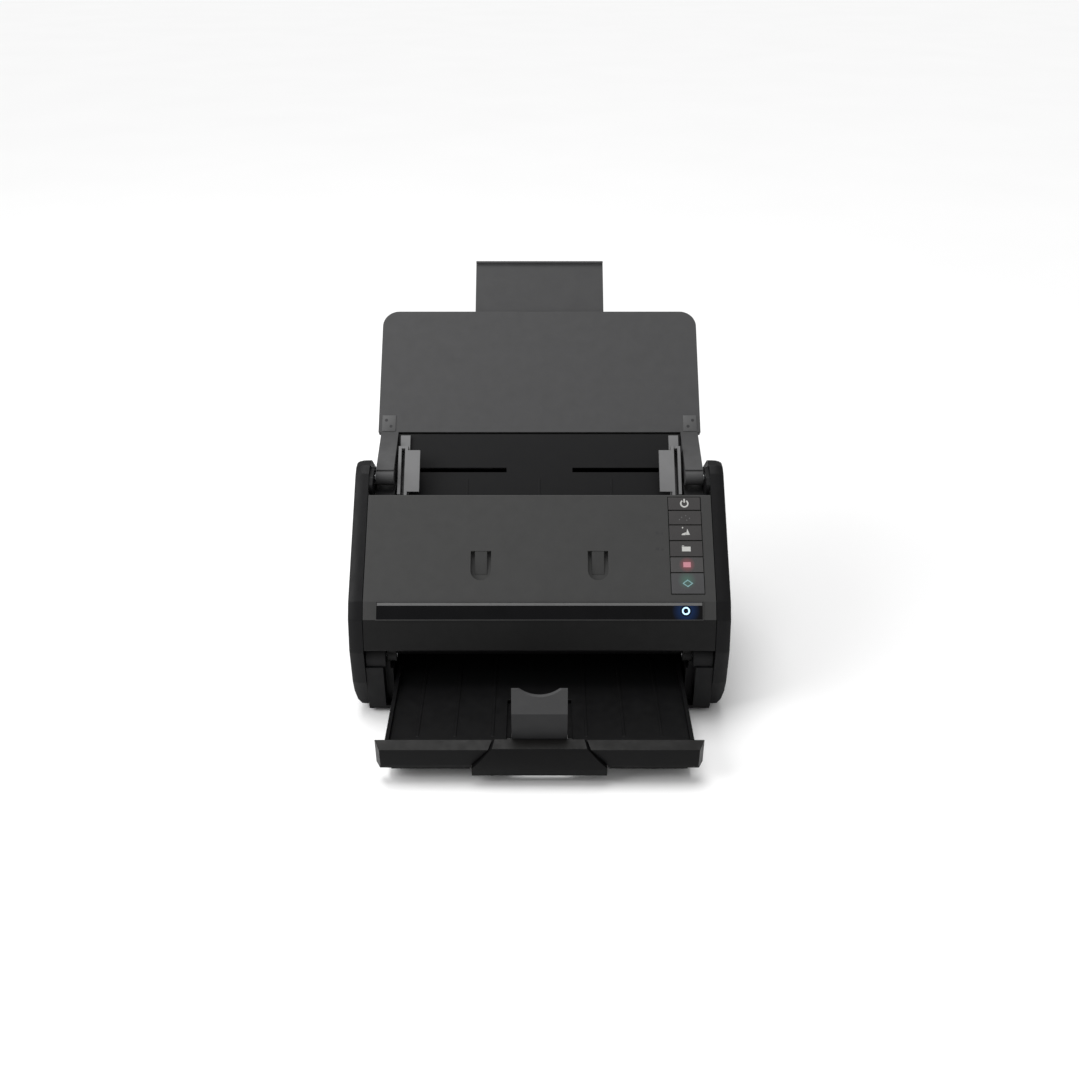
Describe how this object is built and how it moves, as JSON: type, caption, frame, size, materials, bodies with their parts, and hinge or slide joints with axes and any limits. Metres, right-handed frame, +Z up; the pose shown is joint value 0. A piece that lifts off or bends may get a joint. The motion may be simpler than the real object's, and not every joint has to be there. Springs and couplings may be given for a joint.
{
  "type": "sheet fed document scanner",
  "caption": "Desktop sheet fed document scanner with a folding input tray, opening front cover, twin scan modules, driven rollers and a pull-out output tray.",
  "frame": {"origin": "middle of the scanner's footprint as stored, trays out, at table height", "axes": "+X to the right seen from the front, +Y from the output tray towards the input tray, +Z up"},
  "size_m": [0.298, 0.3552, 0.2926],
  "materials": {
    "black_plastic": "fine texture",
    "charcoal_plastic": "fine texture",
    "tray_plastic": "fine texture",
    "grey_plastic": "satin",
    "gloss_black": "polished",
    "light_ring": "translucent",
    "rubber": "matte",
    "grey_rubber": "matte",
    "white_plastic": "satin",
    "steel": "brushed",
    "zinc_plate": "satin",
    "brass": "turned",
    "board_green": "satin",
    "scan_glass": "clear",
    "key_plastic": "fine texture"
  },
  "bodies": {
    "chassis": {"bottom_pan": "black_plastic", "rubber_feet": "rubber", "tray_bay_roof": "black_plastic", "case_screws": "steel", "left_side_cover": "black_plastic", "right_side_cover": "black_plastic", "rear_cover": "black_plastic", "left_frame_plate": "zinc_plate", "right_frame_plate": "zinc_plate", "feed_chute": "black_plastic", "lower_paper_guide": "black_plastic", "rear_scan_module": "black_plastic", "rear_scan_glass": "scan_glass", "left_hinge_cover": "black_plastic", "right_hinge_cover": "black_plastic", "cover_hinge_pins": "steel", "gear_axles": "steel", "drive_motor": "steel", "main_board": "board_green", "usb_socket": "steel", "power_socket": "black_plastic"},
    "front_cover_body": {"front_cover": "charcoal_plastic", "indicator_strip": "gloss_black", "status_light": "light_ring", "front_paper_guide": "black_plastic", "front_scan_module": "black_plastic", "front_scan_glass": "scan_glass", "separation_holder": "grey_plastic", "pinch_brackets": "grey_plastic", "button_board": "board_green"},
    "power_key": {"power_button": "key_plastic"},
    "upper_mode_key": {"upper_mode_button": "key_plastic"},
    "middle_mode_key": {"middle_mode_button": "key_plastic"},
    "lower_mode_key": {"lower_mode_button": "key_plastic"},
    "stop_key": {"stop_button": "key_plastic"},
    "start_key": {"start_button": "key_plastic"},
    "input_tray_body": {"input_tray": "tray_plastic", "tray_hinge_pins": "steel"},
    "tray_extension_body": {"tray_extension": "tray_plastic"},
    "left_guide": {"left_edge_guide": "grey_plastic"},
    "right_guide": {"right_edge_guide": "grey_plastic"},
    "guide_pinion_body": {"guide_pinion": "white_plastic"},
    "output_tray_body": {"output_tray": "black_plastic", "output_tray_front": "black_plastic"},
    "output_extension_body": {"output_extension": "charcoal_plastic"},
    "stopper": {"paper_stopper": "charcoal_plastic"},
    "feed_shaft": {"feed_roller": "grey_rubber", "feed_gear": "white_plastic"},
    "exit_shaft": {"exit_roller": "grey_rubber", "exit_gear": "white_plastic"},
    "pickup_shaft": {"pickup_roller": "grey_rubber", "pickup_gear": "white_plastic"},
    "link_gear_body": {"link_gear": "white_plastic"},
    "idler_gear_body": {"idler_gear": "white_plastic"},
    "motor_pinion_body": {"motor_pinion": "brass"},
    "separation_shaft": {"separation_roller": "rubber"},
    "feed_pinch_shaft": {"feed_pinch_roller": "white_plastic"},
    "exit_pinch_shaft": {"exit_pinch_roller": "white_plastic"},
    "release_lever": {"cover_release_lever": "grey_plastic"}
  },
  "joints": [
    {"name": "input_tray_fold", "type": "hinge", "parent": "chassis", "child": "input_tray_body", "pos_m": [0, 0.01339, 0.159], "axis": [1, 0, 0], "range_deg": [0, 150]},
    {"name": "tray_extension_slide", "type": "slide", "parent": "input_tray_body", "child": "tray_extension_body", "axis": [0, -0.7197, -0.6943], "range_m": [0, 0.047]},
    {"name": "left_guide_slide", "type": "slide", "parent": "chassis", "child": "left_guide", "axis": [1, 0, 0], "range_m": [0, 0.08]},
    {"name": "right_guide_slide", "type": "slide", "parent": "chassis", "child": "right_guide", "axis": [1, 0, 0], "range_m": [-0.08, 0]},
    {"name": "guide_pinion_turn", "type": "hinge", "parent": "chassis", "child": "guide_pinion_body", "pos_m": [0, 0.03585, 0.15301], "axis": [0, -0.6943, 0.7197], "range_deg": [-573, 0]},
    {"name": "front_cover_open", "type": "hinge", "parent": "chassis", "child": "front_cover_body", "pos_m": [0, -0.08061, 0.05], "axis": [-1, 0, 0], "range_deg": [-60, 0]},
    {"name": "output_tray_slide", "type": "slide", "parent": "chassis", "child": "output_tray_body", "axis": [0, -1, 0], "range_m": [-0.062, 0]},
    {"name": "output_extension_slide", "type": "slide", "parent": "output_tray_body", "child": "output_extension_body", "axis": [0, -1, 0], "range_m": [0, 0.07]},
    {"name": "stopper_fold", "type": "hinge", "parent": "output_extension_body", "child": "stopper", "pos_m": [0, -0.16361, 0.031], "axis": [1, 0, 0], "range_deg": [-90, 0]},
    {"name": "power_key_press", "type": "slide", "parent": "front_cover_body", "child": "power_key", "axis": [0, 0.6609, -0.7505], "range_m": [0, 0.0008], "stiffness_N_per_m": 900, "springref_m": -0.0006},
    {"name": "upper_mode_key_press", "type": "slide", "parent": "front_cover_body", "child": "upper_mode_key", "axis": [0, 0.6609, -0.7505], "range_m": [0, 0.0008], "stiffness_N_per_m": 900, "springref_m": -0.0006},
    {"name": "middle_mode_key_press", "type": "slide", "parent": "front_cover_body", "child": "middle_mode_key", "axis": [0, 0.6609, -0.7505], "range_m": [0, 0.0008], "stiffness_N_per_m": 900, "springref_m": -0.0006},
    {"name": "lower_mode_key_press", "type": "slide", "parent": "front_cover_body", "child": "lower_mode_key", "axis": [0, 0.6609, -0.7505], "range_m": [0, 0.0008], "stiffness_N_per_m": 900, "springref_m": -0.0006},
    {"name": "stop_key_press", "type": "slide", "parent": "front_cover_body", "child": "stop_key", "axis": [0, 0.6609, -0.7505], "range_m": [0, 0.0008], "stiffness_N_per_m": 900, "springref_m": -0.0006},
    {"name": "start_key_press", "type": "slide", "parent": "front_cover_body", "child": "start_key", "axis": [0, 0.6609, -0.7505], "range_m": [0, 0.0008], "stiffness_N_per_m": 900, "springref_m": -0.0006},
    {"name": "feed_roller_spin", "type": "hinge", "parent": "chassis", "child": "feed_shaft", "pos_m": [0, -0.02279, 0.09283], "axis": [1, 0, 0], "continuous": true},
    {"name": "exit_roller_spin", "type": "hinge", "parent": "chassis", "child": "exit_shaft", "pos_m": [0, -0.04726, 0.06922], "axis": [1, 0, 0], "continuous": true},
    {"name": "pickup_roller_spin", "type": "hinge", "parent": "chassis", "child": "pickup_shaft", "pos_m": [0, -0.00499, 0.1075], "axis": [1, 0, 0], "continuous": true},
    {"name": "link_gear_spin", "type": "hinge", "parent": "chassis", "child": "link_gear_body", "pos_m": [0, -0.02913, 0.07492], "axis": [1, 0, 0], "continuous": true},
    {"name": "idler_gear_spin", "type": "hinge", "parent": "chassis", "child": "idler_gear_body", "pos_m": [0, -0.00679, 0.09261], "axis": [1, 0, 0], "continuous": true},
    {"name": "motor_pinion_spin", "type": "hinge", "parent": "chassis", "child": "motor_pinion_body", "pos_m": [0, -0.01802, 0.06341], "axis": [1, 0, 0], "continuous": true},
    {"name": "separation_roller_spin", "type": "hinge", "parent": "front_cover_body", "child": "separation_shaft", "pos_m": [0, -0.01846, 0.12147], "axis": [1, 0, 0], "continuous": true},
    {"name": "feed_pinch_spin", "type": "hinge", "parent": "front_cover_body", "child": "feed_pinch_shaft", "pos_m": [0, -0.03279, 0.10319], "axis": [1, 0, 0], "continuous": true},
    {"name": "exit_pinch_spin", "type": "hinge", "parent": "front_cover_body", "child": "exit_pinch_shaft", "pos_m": [0, -0.05726, 0.07959], "axis": [1, 0, 0], "continuous": true},
    {"name": "release_lever_turn", "type": "hinge", "parent": "chassis", "child": "release_lever", "pos_m": [-0.146, -0.04261, 0.112], "axis": [1, 0, 0], "range_deg": [0, 20], "stiffness_Nm_per_rad": 0.05, "springref_deg": -11.46}
  ],
  "couplings": [
    {"joint": "right_guide_slide", "follows": "left_guide_slide", "ratio": -1},
    {"joint": "guide_pinion_turn", "follows": "left_guide_slide", "rad_per_m": -125},
    {"joint": "link_gear_spin", "follows": "feed_roller_spin", "ratio": -0.9},
    {"joint": "exit_roller_spin", "follows": "feed_roller_spin", "ratio": 1},
    {"joint": "motor_pinion_spin", "follows": "feed_roller_spin", "ratio": 1.5},
    {"joint": "idler_gear_spin", "follows": "feed_roller_spin", "ratio": -1.2857},
    {"joint": "pickup_roller_spin", "follows": "feed_roller_spin", "ratio": 1.125}
  ]
}
